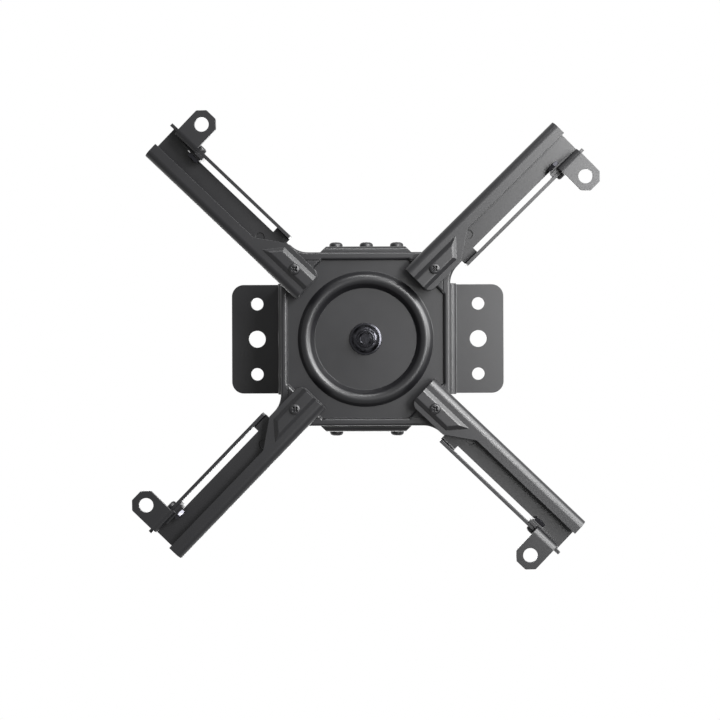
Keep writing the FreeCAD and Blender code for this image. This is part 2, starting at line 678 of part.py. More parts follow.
def make_arm(name, corner):
    """A folded arm: back, tall wall and lip on one side, a low rail on the other."""
    body = new_body("arm_" + name)
    wall = -dim.arm_wall
    rail = dim.rail_face + dim.gauge
    rail_top = ARM_BACK - dim.rail_height
    root = -dim.arm_root
    reach = dim.arm_reach
    section = [
        (wall, ARM_BACK), (rail, ARM_BACK), (rail, rail_top), (dim.rail_face, rail_top),
        (dim.rail_face, WEB_FACE), (wall + dim.gauge, WEB_FACE),
        (wall + dim.gauge, LIP_FACE + dim.gauge), (dim.root_edge, LIP_FACE + dim.gauge),
        (dim.root_edge, LIP_FACE), (wall, LIP_FACE),
    ]
    add_slab(body, "section", "x", root, reach + dim.rail_nub, [section])
    large = straight_edges(body, "x", [(wall, LIP_FACE)])
    round_edges(body, "large_bend", large, dim.arm_bend)
    inside = straight_edges(body, "x", [(wall + dim.gauge, LIP_FACE + dim.gauge)])
    round_edges(body, "large_bend_inside", inside, dim.arm_bend - dim.gauge)
    outer = straight_edges(body, "x", [(wall, ARM_BACK), (rail, ARM_BACK)])
    round_edges(body, "back_bends", outer, BEND)
    inner = straight_edges(body, "x", [(wall + dim.gauge, WEB_FACE), (dim.rail_face, WEB_FACE)])
    round_edges(body, "back_folds", inner, dim.fold)
    slope = [
        (dim.root_length, dim.root_edge), (dim.root_length + dim.root_slope, -dim.lip_edge),
        (reach + OVER, -dim.lip_edge), (reach + OVER, dim.rail_face - dim.fold),
        (dim.root_length, dim.rail_face - dim.fold),
    ]
    cut_slab(body, "lip_shape", "z", LIP_FACE - OVER, LIP_FACE + dim.gauge, [slope])
    beside = box_corners(root - OVER, dim.rail_start, dim.root_edge, rail + OVER)
    cut_slab(body, "rail_relief", "z", rail_top, ARM_BACK + OVER, [beside])
    past = box_corners(wall - OVER, dim.rail_face, LIP_FACE - OVER, ARM_BACK + OVER)
    cut_slab(body, "rail_nub", "x", reach, reach + OVER, [past])
    edge = dim.boss_width / 2
    boss = [(root - OVER, -edge), (dim.boss_long, -edge), (dim.boss_short, edge), (root - OVER, edge)]
    add_drafted(body, "boss", LIP_FACE, dim.boss_rise, boss, dim.boss_draft)
    round_edges(body, "boss_edges", level_edges(body, BOSS_FACE), dim.boss_round)
    trim = box_corners(wall - OVER, rail + OVER, BOSS_FACE - OVER, ARM_BACK + OVER)
    cut_slab(body, "root_end", "x", root - OVER * 2, root, [trim])
    inset = edge - dim.boss_inset
    hollow = [
        (root - OVER, -inset), (dim.boss_long - dim.boss_inset * 2, -inset),
        (dim.boss_short - dim.boss_inset, inset), (root - OVER, inset),
    ]
    cut_slab(body, "boss_hollow", "z", BOSS_FACE + dim.gauge, LIP_FACE + dim.gauge, [hollow])
    corner_edges = straight_edges(body, "z", [(root, dim.root_edge)])
    round_edges(body, "root_corner", corner_edges, dim.root_corner)
    slot = box_corners(dim.web_slot_start, reach - dim.web_slot_inset,
                       dim.rail_face - dim.web_slot_width, dim.rail_face)
    cut_slab(body, "web_slot", "z", WEB_FACE - dim.fold, ARM_BACK + OVER, [slot])
    bore = dim.arm_screw + dim.pin_clearance * 2
    track = box_corners(dim.track_start, TAB_SCREW, TRACK_LEVEL - bore / 2, TRACK_LEVEL + bore / 2)
    cut_slab(body, "rail_track", "y", dim.rail_face - OVER, rail + OVER, [track])
    ends = [(dim.track_start, TRACK_LEVEL, bore), (TAB_SCREW, TRACK_LEVEL, bore)]
    cut_slab(body, "rail_track_ends", "y", dim.rail_face - OVER, rail + OVER, ends)
    cut_slab(body, "screw_hole", "z", BOSS_FACE - OVER, ARM_BACK + OVER, [(0, 0, bore)])
    dimple = (dim.dimple_offset, -dim.dimple_side, dim.dimple)
    cut_slab(body, "dimple", "z", WEB_FACE - dim.fold, WEB_FACE + dim.dimple_depth, [dimple])
    place(body, corner, UPRIGHT)


# Tab

def make_tab(name, corner, setback):
    """A hooked tab: a leg against the rail and a plate with the projector's hole."""
    body = new_body("tab_" + name)
    inside = dim.rail_face - dim.gauge
    foot = ARM_BACK - dim.tab_foot
    start = TAB_SCREW - dim.tab_leg_margin
    plate = TAB_HOLE - dim.tab_width / 2
    end = TAB_HOLE + dim.tab_width / 2
    section = [
        (inside, TAB_FACE), (TAB_END, TAB_FACE), (TAB_END, TAB_BACK),
        (dim.rail_face, TAB_BACK), (dim.rail_face, foot), (inside, foot),
    ]
    add_slab(body, "section", "x", start, end, [section])
    outer = straight_edges(body, "x", [(inside, TAB_FACE)])
    round_edges(body, "bend", outer, dim.tab_bend)
    inner = straight_edges(body, "x", [(dim.rail_face, TAB_BACK)])
    round_edges(body, "fold", inner, dim.tab_bend - dim.gauge)
    shoulder = box_corners(start - OVER, plate, TAB_FACE - OVER, foot - dim.tab_leg_height)
    cut_slab(body, "shoulder", "y", inside - OVER, TAB_END + OVER, [shoulder])
    chamfer = dim.tab_chamfer
    corners = [
        [(plate, TAB_END - chamfer), (plate + chamfer, TAB_END), (plate, TAB_END)],
        [(end, TAB_END - chamfer), (end, TAB_END), (end - chamfer, TAB_END)],
    ]
    cut_slab(body, "cut_corners", "z", TAB_FACE - OVER, TAB_BACK + OVER, corners)
    blunt = [(plate, TAB_END - chamfer), (plate + chamfer, TAB_END),
             (end, TAB_END - chamfer), (end - chamfer, TAB_END)]
    round_edges(body, "corner_rounds", straight_edges(body, "z", blunt), dim.tab_round)
    hole = (TAB_HOLE, dim.tab_hole_side, dim.tab_hole)
    cut_slab(body, "projector_hole", "z", TAB_FACE - OVER, TAB_BACK + OVER, [hole])
    bore = (TAB_SCREW, TRACK_LEVEL, dim.arm_screw + dim.pin_clearance * 2)
    cut_slab(body, "screw_hole", "y", inside - OVER, dim.rail_face + OVER, [bore])
    place(body, corner, UPRIGHT, (-setback, 0, 0))


def make_clamp_plate(name, corner, setback):
    """A flat plate between the tab's leg and the nut."""
    body = new_body("clamp_plate_" + name)
    near = dim.rail_face - dim.gauge
    start = TAB_SCREW - dim.clamp_margin
    low = TRACK_LEVEL - dim.clamp_height / 2
    outline = box_corners(start, start + dim.clamp_length, low, low + dim.clamp_height)
    add_slab(body, "plate", "y", near - dim.clamp_sheet, near, [outline])
    bore = (TAB_SCREW, TRACK_LEVEL, dim.arm_screw + dim.pin_clearance * 2)
    cut_slab(body, "screw_hole", "y", near - OVER, near + OVER, [bore])
    place(body, corner, UPRIGHT, (-setback, 0, 0))


# Turned parts and fasteners

DOME_STEPS = 4
DOME_RIM = 0.25
SOCKET_SHARE = 0.42
SOCKET_DEPTH = 0.55


def make_screw(label, corner, turn, spot, thread, length, head, head_height):
    """A domed socket screw: seat at its own origin, head up, shank down."""
    body = new_body(label)
    rim = head_height * DOME_RIM
    dome = []
    for step in range(DOME_STEPS):
        angle = math.radians(90 * step / DOME_STEPS)
        dome.append((head / 2 * math.cos(angle), rim + (head_height - rim) * math.sin(angle)))
    profile = [
        (0, -length), (thread / 2 - dim.screw_lead, -length),
        (thread / 2, dim.screw_lead - length), (thread / 2, 0), (head / 2, 0),
    ] + dome + [(0, head_height)]
    add_turned(body, "screw", profile)
    socket = hexagon(head * SOCKET_SHARE)
    cut_slab(body, "socket", "z", head_height * (1 - SOCKET_DEPTH), head_height + OVER, [socket])
    place(body, corner, turn, spot)


def make_nut(label, corner, turn, spot, thread, flats, height):
    """A hexagon nut that hangs below its seat."""
    body = new_body(label)
    add_slab(body, "nut", "z", -height, 0, [hexagon(flats)])
    bore = thread + dim.thread_clearance * 2
    cut_slab(body, "bore", "z", -height - OVER, OVER, [(0, 0, bore)])
    place(body, corner, turn, spot)


def make_ring(label, spot, outside, inside, height):
    """A flat ring that hangs below its spot."""
    body = new_body(label)
    add_slab(body, "ring", "z", -height, 0, [(0, 0, outside), (0, 0, inside)])
    place(body, CENTRE, UPRIGHT, spot)


def make_tilt_fasteners():
    """Locking screws in the curved slots, and the pivots between them."""
    grip = dim.gauge * 2 + dim.ear_gap
    length = grip + dim.ear_nut_height + dim.screw_tail
    axis = -dim.tilt_drop
    spots = [("front_left", -1), ("front_right", 1), ("back_left", -1), ("back_right", 1)]
    for name, way in spots:
        front = name.startswith("front")
        turn = HEAD_FRONT if front else HEAD_BACK
        outward = -1 if front else 1
        seat = (dim.lock_radius * way, YOKE_END * outward, axis)
        inner = (dim.lock_radius * way, (YOKE_END - grip) * outward, axis)
        make_screw("lock_screw_" + name, CENTRE, turn, seat, dim.ear_screw, length,
                   dim.ear_head, dim.ear_head_height)
        make_nut("lock_nut_" + name, CENTRE, turn, inner, dim.ear_screw,
                 dim.ear_nut_flats, dim.ear_nut_height)
    make_screw("tilt_pivot_screw", CENTRE, HEAD_FRONT, (0, -YOKE_END, axis), dim.ear_screw, length,
               dim.ear_head, dim.ear_head_height)
    make_nut("tilt_pivot_nut", CENTRE, HEAD_FRONT, (0, grip - YOKE_END, axis), dim.ear_screw,
             dim.ear_nut_flats, dim.ear_nut_height)
    rivet = new_body("tilt_pivot_rivet")
    profile = [
        (0, 0), (0, -grip - dim.rivet_head_height), (dim.rivet_head / 2, -grip - dim.rivet_head_height),
        (dim.rivet_head / 2, -grip), (dim.ear_screw / 2, -grip), (dim.ear_screw / 2, 0),
    ]
    add_turned(rivet, "rivet", profile)
    place(rivet, CENTRE, HEAD_BACK, (0, YOKE_END, axis))


def make_swivel_bolt():
    """A hexagon bolt through the yoke, the bearing and the pan."""
    body = new_body("swivel_bolt")
    seat = YOKE_FACE + dim.gauge
    tip = DISC_FACE - dim.washer_height - dim.nut_height - dim.collar_height - dim.swivel_tip
    head = seat + dim.swivel_head_height
    add_slab(body, "head", "z", seat, head, [hexagon(dim.swivel_flats)])
    reach = dim.swivel_flats / 2
    shave = [(reach, head), (reach + OVER, head), (reach + OVER, head - OVER / 2)]
    cut_turned(body, "head_chamfer", shave)
    lead = dim.screw_lead * 2
    shank = dim.swivel_screw / 2
    profile = [(0, tip), (shank - lead, tip), (shank, tip + lead), (shank, seat), (0, seat)]
    add_turned(body, "shank", profile)


def make_swivel_nut():
    """A flanged hexagon nut with a round locking collar."""
    body = new_body("swivel_nut")
    seat = DISC_FACE - dim.washer_height
    low = seat - dim.nut_height
    rim = dim.nut_flange / 2
    flats = dim.swivel_flats / 2
    flange = [
        (0, seat), (rim, seat), (rim, seat - dim.gauge / 2), (flats, seat - dim.gauge),
        (0, seat - dim.gauge),
    ]
    add_turned(body, "flange", flange)
    add_slab(body, "hexagon", "z", low, seat - dim.gauge / 2, [hexagon(dim.swivel_flats)])
    shave = [(flats, low), (flats + OVER, low), (flats + OVER, low + OVER / 2)]
    cut_turned(body, "chamfer", shave)
    collar = dim.collar_diameter / 2
    foot = low - dim.collar_height
    ring = [(0, low), (collar, low), (collar, foot + dim.fold), (collar - dim.fold, foot), (0, foot)]
    add_turned(body, "collar", ring)
    bore = dim.swivel_screw + dim.thread_clearance * 2
    cut_slab(body, "bore", "z", foot - OVER, seat + OVER, [(0, 0, bore)])


def make_arm_fasteners(name, corner):
    """The screw, bush and nut on which an arm swings."""
    length = dim.boss_rise + dim.arm_height + dim.gauge + dim.arm_nut_height + dim.screw_tail
    make_screw("arm_screw_" + name, corner, HEAD_DOWN, (0, 0, BOSS_FACE), dim.arm_screw, length,
               dim.arm_head, dim.arm_head_height)
    make_nut("arm_nut_" + name, corner, HEAD_DOWN, (0, 0, PAD_BACK), dim.arm_screw,
             dim.arm_nut_flats, dim.arm_nut_height)
    bush = new_body("arm_bush_" + name)
    bore = dim.arm_screw + dim.pin_clearance * 2
    add_slab(bush, "bush", "z", LIP_FACE + dim.gauge, WEB_FACE, [(0, 0, dim.arm_bush), (0, 0, bore)])
    place(bush, corner, UPRIGHT)


def make_tab_fasteners(name, corner, setback):
    """The screw and nut that clamp a tab to its rail."""
    grip = dim.gauge * 2 + dim.clamp_sheet
    length = grip + dim.tab_nut_height + dim.tab_tail
    outside = dim.rail_face + dim.gauge
    along = TAB_SCREW - setback
    make_screw("tab_screw_" + name, corner, HEAD_BACK, (along, outside, TRACK_LEVEL), dim.arm_screw,
               length, dim.tab_head, dim.tab_head_height)
    make_nut("tab_nut_" + name, corner, HEAD_BACK, (along, outside - grip, TRACK_LEVEL),
             dim.arm_screw, dim.arm_nut_flats, dim.tab_nut_height)


# Each corner of the pan: its side along X and along Y, the direction its arm
# points to, and how far its tab is drawn in.
CORNERS = {
    "front_right": (1, -1, -44.6, as_size(0)),
    "back_right": (1, 1, 43.7, dim.setback_back_right),
    "back_left": (-1, 1, 134.1, as_size(0)),
    "front_left": (-1, -1, 223.8, dim.setback_front_left),
}

make_ceiling_bracket()
make_tilt_yoke()
make_tilt_fasteners()
make_swivel_bolt()
bearing_bore = dim.swivel_screw + dim.pin_clearance * 2
bearing_outside = (DISC_RADIUS - dim.bearing_room) * 2
make_ring("swivel_bearing", (0, 0, YOKE_FACE), bearing_outside, bearing_bore, dim.bearing_height)
make_swivel_pan()
make_ring("swivel_washer", (0, 0, DISC_FACE), dim.washer_diameter, bearing_bore, dim.washer_height)
make_swivel_nut()
for name, (x_side, y_side, spin, setback) in CORNERS.items():
    corner = ((ARM_SPREAD * x_side, ARM_SPREAD * y_side), spin)
    make_arm(name, corner)
    make_arm_fasteners(name, corner)
    make_tab(name, corner, setback)
    make_clamp_plate(name, corner, setback)
    make_tab_fasteners(name, corner, setback)

doc.recompute()
for thing in doc.Objects:
    if "Invalid" in thing.State or "Error" in thing.State:
        raise ValueError(thing.Name + " failed: " + ", ".join(thing.State))
os.makedirs("parts", exist_ok=True)
for piece in pieces:
    if piece.Shape.isNull() or not piece.Shape.isValid():
        raise ValueError(piece.Label + " has no valid shape")
    piece.Shape.exportStep("parts/" + piece.Label + ".step")
print(len(pieces), "pieces")
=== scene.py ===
# %% [markdown]
# # A projector ceiling mount, seen from below
#
# The real thing is folded from two-millimetre steel sheet and powder coated
# in satin black. A hat-shaped bracket is screwed to the ceiling, a yoke tilts
# on its ears, a pressed pan swivels on one bolt, and four folded arms reach
# out to hooked tabs that take the projector's feet. The solids come from the
# frame, so this script gives them their surfaces and makes the small turned
# and threaded pieces, which need more facets than the solids have.

# %% Load the frame
import json
import math

import bmesh
import bpy
from mathutils import Matrix, Vector


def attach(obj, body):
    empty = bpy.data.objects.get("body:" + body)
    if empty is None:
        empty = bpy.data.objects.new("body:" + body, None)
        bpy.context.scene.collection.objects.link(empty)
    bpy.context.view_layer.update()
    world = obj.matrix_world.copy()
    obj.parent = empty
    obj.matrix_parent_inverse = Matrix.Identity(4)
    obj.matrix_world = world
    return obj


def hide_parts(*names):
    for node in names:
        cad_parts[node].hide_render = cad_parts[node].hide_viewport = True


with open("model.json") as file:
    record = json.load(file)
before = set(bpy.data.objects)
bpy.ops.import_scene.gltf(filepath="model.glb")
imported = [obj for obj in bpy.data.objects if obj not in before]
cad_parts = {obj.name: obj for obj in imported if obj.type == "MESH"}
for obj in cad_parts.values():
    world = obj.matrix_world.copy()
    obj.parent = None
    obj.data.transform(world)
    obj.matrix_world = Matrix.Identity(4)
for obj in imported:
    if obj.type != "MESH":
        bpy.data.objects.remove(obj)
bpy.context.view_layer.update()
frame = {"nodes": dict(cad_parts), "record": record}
nodes = frame["nodes"]
record = frame["record"]
MM = 0.001
CORNERS = ("front_right", "back_right", "back_left", "front_left")

# %% [markdown]
# ## Colours and nodes
#
# Paint colours are known as sRGB hex values, as on a colour card, and a shader
# wants them linear. One function does that for the whole file. A second small
# helper adds a node together with its settings and its links, so that each
# material below reads as a short recipe. Noise stays near the middle of its
# range, so what it drives is stretched from that part alone. A bevel node softens
# edges in the shading, and six samples are enough for edges this small.

# %% Colour and node helpers
def linear(hex_colour):
    """An sRGB hex colour as a linear RGBA tuple."""
    parts = [int(hex_colour[i:i + 2], 16) / 255 for i in (1, 3, 5)]
    curve = [c / 12.92 if c <= 0.04045 else ((c + 0.055) / 1.055) ** 2.4 for c in parts]
    return (*curve, 1.0)


def add_node(tree, kind, settings=None, links=None, **values):
    """Add a node, set its properties and socket values, and link its inputs."""
    node = tree.nodes.new(kind)
    for name, value in (settings or {}).items():
        setattr(node, name, value)
    for name, value in values.items():
        node.inputs[name.replace("_", " ")].default_value = value
    for name, output in (links or {}).items():
        tree.links.new(output, node.inputs[name])
    return node


def new_material(name):
    """A material with an empty node tree."""
    material = bpy.data.materials.new(name)
    material.use_nodes = True
    material.node_tree.nodes.clear()
    return material, material.node_tree


NOISE_SPREAD = {"From_Min": 0.3, "From_Max": 0.7}
BEVEL_SAMPLES = {"samples": 6}
print("a black coat, linear:", [round(c, 4) for c in linear("#121214")[:3]])

# %% [markdown]
# ## Powder-coated steel
#
# Powder coat is a thick film of polyester, baked on the folded steel. Its colour
# is jet black and its surface satin, so the eye sees the soft reflections of the
# lamps more than the colour. The film flows while it bakes, which leaves a fine
# orange peel about half a millimetre across and softly rounded edges. A fine
# noise bumps the surface for the peel, a slow one makes the gloss a little
# uneven, and a bevel of a third of a millimetre rounds the sheet's edges. The
# resin's IOR is about 1.5, and a roughness near 0.4 is what satin means.

# %% Powder-coated steel
PEEL_MM = 0.55
PEEL_DEPTH_MM = 0.05
WAVE_MM = 9.0
COAT_EDGE_MM = 0.35


def make_powder_coat():
    material, tree = new_material("powder_coated_steel")
    place = add_node(tree, "ShaderNodeTexCoord")
    peel = add_node(tree, "ShaderNodeTexNoise", links={"Vector": place.outputs["Object"]},
                    Scale=1 / (PEEL_MM * MM), Detail=2.0, Roughness=0.5)
    wave = add_node(tree, "ShaderNodeTexNoise", links={"Vector": place.outputs["Object"]},
                    Scale=1 / (WAVE_MM * MM), Detail=2.0)
    gloss = add_node(tree, "ShaderNodeMapRange", links={"Value": wave.outputs["Fac"]},
                     To_Min=0.36, To_Max=0.38, **NOISE_SPREAD)
    edge = add_node(tree, "ShaderNodeBevel", settings=BEVEL_SAMPLES, Radius=COAT_EDGE_MM * MM)
    bump = add_node(tree, "ShaderNodeBump",
                    links={"Height": peel.outputs["Fac"], "Normal": edge.outputs["Normal"]},
                    Strength=0.06, Distance=PEEL_DEPTH_MM * MM)
    shader = add_node(tree, "ShaderNodeBsdfPrincipled",
                      links={"Roughness": gloss.outputs["Result"],
                             "Normal": bump.outputs["Normal"]},
                      Base_Color=linear("#121214"), Metallic=0.0, IOR=1.5)
    add_node(tree, "ShaderNodeOutputMaterial", links={"Surface": shader.outputs["BSDF"]})
    return material


powder_coat = make_powder_coat()
print("made", powder_coat.name)

# %% [markdown]
# ## Black zinc-plated steel
#
# The swivel bolt and all the nuts are plated, not painted, so they stay metal:
# a dark grey with a tighter highlight than the coat. The plating is passivated
# black, and fine turning marks run round it, far too fine to show, so a little
# uneven roughness stands for them.

# %% Black zinc-plated steel
ZINC_STAIN_MM = 1.5
ZINC_EDGE_MM = 0.15


def make_black_zinc():
    material, tree = new_material("black_zinc_plated_steel")
    place = add_node(tree, "ShaderNodeTexCoord")
    stain = add_node(tree, "ShaderNodeTexNoise", links={"Vector": place.outputs["Object"]},
                     Scale=1 / (ZINC_STAIN_MM * MM), Detail=3.0)
    gloss = add_node(tree, "ShaderNodeMapRange", links={"Value": stain.outputs["Fac"]},
                     To_Min=0.20, To_Max=0.30, **NOISE_SPREAD)
    edge = add_node(tree, "ShaderNodeBevel", settings=BEVEL_SAMPLES, Radius=ZINC_EDGE_MM * MM)
    shader = add_node(tree, "ShaderNodeBsdfPrincipled",
                      links={"Roughness": gloss.outputs["Result"],
                             "Normal": edge.outputs["Normal"]},
                      Base_Color=linear("#3c3c40"), Metallic=1.0)
    add_node(tree, "ShaderNodeOutputMaterial", links={"Surface": shader.outputs["BSDF"]})
    return material


black_zinc = make_black_zinc()
print("made", black_zinc.name)

# %% [markdown]
# ## Dip-coated screws
#
# The cross-recess screws come dip-coated in a thin black film. It fills the
# turning marks and takes the metal's sparkle away, so their heads are about as
# dark as the sheet round them and a little duller.

# %% Dip-coated screws
DIP_EDGE_MM = 0.12


def make_dip_coat():
    material, tree = new_material("black_dip_coated_steel")
    edge = add_node(tree, "ShaderNodeBevel", settings=BEVEL_SAMPLES, Radius=DIP_EDGE_MM * MM)
    shader = add_node(tree, "ShaderNodeBsdfPrincipled", links={"Normal": edge.outputs["Normal"]},
                      Base_Color=linear("#141416"), Roughness=0.42, IOR=1.5)
    add_node(tree, "ShaderNodeOutputMaterial", links={"Surface": shader.outputs["BSDF"]})
    return material


dip_coat = make_dip_coat()
print("made", dip_coat.name)

# %% [markdown]
# ## Black nylon
#
# The ring between yoke and pan is moulded nylon, so that steel doesn't grind on
# steel. It is duller than the coat and has a faint moulded grain.

# %% Black nylon
GRAIN_MM = 0.8
GRAIN_DEPTH_MM = 0.05


def make_nylon():
    material, tree = new_material("black_nylon")
    place = add_node(tree, "ShaderNodeTexCoord")
    grain = add_node(tree, "ShaderNodeTexNoise", links={"Vector": place.outputs["Object"]},
                     Scale=1 / (GRAIN_MM * MM), Detail=2.0)
    bump = add_node(tree, "ShaderNodeBump", links={"Height": grain.outputs["Fac"]},
                    Strength=0.2, Distance=GRAIN_DEPTH_MM * MM)
    shader = add_node(tree, "ShaderNodeBsdfPrincipled", links={"Normal": bump.outputs["Normal"]},
                      Base_Color=linear("#232325"), Roughness=0.6, IOR=1.53)
    add_node(tree, "ShaderNodeOutputMaterial", links={"Surface": shader.outputs["BSDF"]})
    return material


nylon = make_nylon()
print("made", nylon.name)

# %% [markdown]
# ## Dress the solids
#
# Each solid keeps its mesh and gets the surface of what it is made of. The
# record already says which slot a node belongs to, so that list picks the
# material.

# %% Dress the solids
SURFACES = {"powder_coat": powder_coat, "black_fastener": black_zinc, "bearing_plastic": nylon}
for part in record["subparts"]:
    solid = nodes[part["node"]]
    solid.data.materials.clear()
    solid.data.materials.append(SURFACES[part["material_slot"]])
print("dressed", len(nodes), "solids")

# %% [markdown]
# ## Turned shapes
#
# Screws, nuts and washers are turned or rolled, so they are rings of points
# about an axis. One function makes them all from a profile of radius and level
# in millimetres. A profile that starts and ends at radius zero closes over the
# axis, and any other closes on itself and leaves a bore. A shape function may
# push a point in or up, which gives the hexagon, the thread and the recess.
# Edges sharper than SHARP_DEGREES stay crisp and the rest is shaded smooth.

# %% Turned shapes
SIDES = 48
SHARP_DEGREES = 32


def turned_mesh(name, profile, shape):
    """Join rings of points about Z; shape(angle, radius, level) gives each point."""
    form = bmesh.new()
    rings = []
    for radius, level in profile:
        count = SIDES if radius > 0 else 1
        ring = []
        for step in range(count):
            angle = 2 * math.pi * step / SIDES
            across, height = shape(angle, radius, level)
            spot = Vector((across * math.cos(angle), across * math.sin(angle), height))
            ring.append(form.verts.new(spot * MM))
        rings.append(ring)
    pairs = list(zip(rings, rings[1:]))
    if profile[0][0] > 0:
        pairs.append((rings[-1], rings[0]))
    for upper, lower in pairs:
        for step in range(SIDES):
            after = (step + 1) % SIDES
            corners = [upper[step % len(upper)], upper[after % len(upper)],
                       lower[after % len(lower)], lower[step % len(lower)]]
            form.faces.new(list(dict.fromkeys(corners)))
    bmesh.ops.recalc_face_normals(form, faces=form.faces)
    mesh = bpy.data.meshes.new(name)
    form.to_mesh(mesh)
    form.free()
    for face in mesh.polygons:
        face.use_smooth = True
    mesh.set_sharp_from_angle(angle=math.radians(SHARP_DEGREES))
    return mesh


def round_shape(angle, radius, level):
    """A plain turned surface."""
    return radius, level


washer_trial = turned_mesh("washer_trial", [(2, 0), (4, 0), (4, -1), (2, -1)], round_shape)
print("a washer has", len(washer_trial.polygons), "faces")
bpy.data.meshes.remove(washer_trial)

# %% [markdown]
# ## Where a fastener goes
#
# The CAD fastener already has its place, and its mesh is still there after the
# new piece hides it. Its reach along its own axis gives the outer end, and its
# middle across that axis gives the centre, so nothing is typed twice.

# %% Where a fastener goes
SLIDES = {joint["name"]: Vector(joint["axis"]) for joint in record["behaviour"]["joints"]
          if joint["type"] == "slide"}
BODY_OF = {node: body for body, group in record["behaviour"]["bodies"].items() for node in group}


def reach(node, direction):
    """Lowest and highest reach of a solid along a direction, in metres."""
    along = [vertex.co.dot(direction) for vertex in nodes[node].data.vertices]
    return min(along), max(along)


def extent(node, direction):
    """Length of a solid along a direction, in millimetres."""
    low, high = reach(node, direction)
    return (high - low) / MM


def stand_in(mesh, node, outward, material):
    """Put a mesh at the outer end of a solid, and let it stand for the solid."""
    z_axis = Vector(outward).normalized()
    x_axis = z_axis.orthogonal().normalized()
    y_axis = z_axis.cross(x_axis)
    middle = [sum(reach(node, axis)) / 2 for axis in (x_axis, y_axis)]
    top = reach(node, z_axis)[1]
    frame_of_node = Matrix((x_axis, y_axis, z_axis)).transposed().to_4x4()
    frame_of_node.translation = x_axis * middle[0] + y_axis * middle[1] + z_axis * top
    piece = bpy.data.objects.new("fine_" + node, mesh)
    bpy.context.scene.collection.objects.link(piece)
    piece.matrix_world = frame_of_node
    mesh.materials.clear()
    mesh.materials.append(material)
    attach(piece, BODY_OF[node])
    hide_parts(node)
    return piece


print("the swivel bolt is", round(extent("swivel_bolt", Vector((0, 0, 1))), 2), "mm long")

# %% [markdown]
# ## Cross-recess screws
#
# The arms, the tabs and the tilt ears are held by pan-head screws with a cross
# recess. The head is nearly flat on top and rolls over into a short straight
# rim, which is a superellipse in section. A driver bit stamps the recess, so its
# four wings get shallower outwards. The thread is rolled: its crest climbs by
# one pitch for each turn, which is the angle's share of the pitch, and stays a
# tenth of a millimetre inside the nominal size, as on a real bolt. The head
# clears the sheet by a hair, so that the yoke can slide under it.

# %% Cross-recess screws
THREAD_STEPS = 8
THREAD_DEPTH_SHARE = 0.61
RECESS_REACH = 0.62
RECESS_WING = 0.17
RECESS_DEPTH = 0.6
RECESS_FADE = 2.2
WING_SQUARENESS = 4
RIM_SHARE = 0.35
RIM_CHAMFER_MM = 0.1
DOME_RINGS = 14
DOME_POWER = 2 / 2.7
CREST_ROOM_MM = 0.1
SEAT_ROOM_MM = 0.02


def make_screw_mesh(name, head, head_height, thread, pitch, length):
    """A pan-head screw: top of the head at the origin, tip at -length."""
    rim = head_height * RIM_SHARE
    seat = SEAT_ROOM_MM - head_height
    crest = thread / 2 - CREST_ROOM_MM
    profile = [(0, 0)]
    for step in range(1, DOME_RINGS + 1):
        angle = math.radians(90 * step / DOME_RINGS)
        drop = (head_height - rim) * (max(0.0, math.cos(angle)) ** DOME_POWER - 1)
        profile.append((head / 2 * math.sin(angle) ** DOME_POWER, drop))
    profile += [(head / 2, seat + RIM_CHAMFER_MM), (head / 2 - RIM_CHAMFER_MM, seat),
                (crest, seat)]
    count = int((length - head_height) / pitch * THREAD_STEPS)
    profile += [(crest, seat - pitch * step / THREAD_STEPS) for step in range(1, count)]
    profile += [(crest - pitch, -length), (0, -length)]
    depth = pitch * THREAD_DEPTH_SHARE

    def shape(angle, radius, level):
        if level < seat and radius >= crest:
            phase = (level / pitch - angle / (2 * math.pi)) % 1.0
            return radius - depth * abs(2 * phase - 1), level
        if level <= seat or radius > head / 2 * RECESS_REACH:
            return radius, level
        across, up = sorted((abs(radius * math.cos(angle)), abs(radius * math.sin(angle))))
        wing = 1 - min(1.0, across / (head * RECESS_WING / 2)) ** WING_SQUARENESS
        fade = 1 - radius / (head / 2 * RECESS_REACH)
        return radius, level - head_height * RECESS_DEPTH * wing * min(1.0, fade * RECESS_FADE)

    return turned_mesh(name, profile, shape)


PITCHES_MM = {4: 0.7, 5: 0.8, 8: 1.25}
ARM_THREAD = 4
TILT_THREAD = 5
EXTENT_SHARE = 0.01


def seat_depth(node, outward, across):
    """How far under its top a CAD screw's head has its seat, in millimetres."""
    low, high = reach(node, across)
    widest = high - (high - low) * EXTENT_SHARE
    rim = [vertex.co.dot(outward) for vertex in nodes[node].data.vertices
           if vertex.co.dot(across) > widest]
    return (reach(node, outward)[1] - min(rim)) / MM


def dress_screw(node, outward, thread):
    """Replace a CAD screw by one with a recess and a thread."""
    outward = Vector(outward)
    across = outward.orthogonal().normalized()
    mesh = make_screw_mesh("fine_" + node, extent(node, across), seat_depth(node, outward, across),
                           thread, PITCHES_MM[thread], extent(node, outward))
    return stand_in(mesh, node, outward, dip_coat)


screws = []
for corner in CORNERS:
    slide = SLIDES["tab_slide_" + corner]
    screws.append(dress_screw("arm_screw_" + corner, (0, 0, -1), ARM_THREAD))
    screws.append(dress_screw("tab_screw_" + corner, (-slide.y, slide.x, 0), ARM_THREAD))
    away = -1 if corner.startswith("front") else 1
    screws.append(dress_screw("lock_screw_" + corner, (0, away, 0), TILT_THREAD))
screws.append(dress_screw("tilt_pivot_screw", (0, -1, 0), TILT_THREAD))
print(len(screws), "screws, a tilt screw's head is",
      round(seat_depth("tilt_pivot_screw", Vector((0, -1, 0)), Vector((1, 0, 0))), 2), "mm high")

# %% [markdown]
# ## Hexagon nuts
#
# A nut is a hexagon bar whose ends are turned to a cone of 30 degrees, and that
# cone cuts the six corners to the well-known curved edges. The radius of the
# hexagon at an angle and the radius of the cone at a level are both plain
# formulas, and the smaller one wins. The bore is countersunk at both ends.

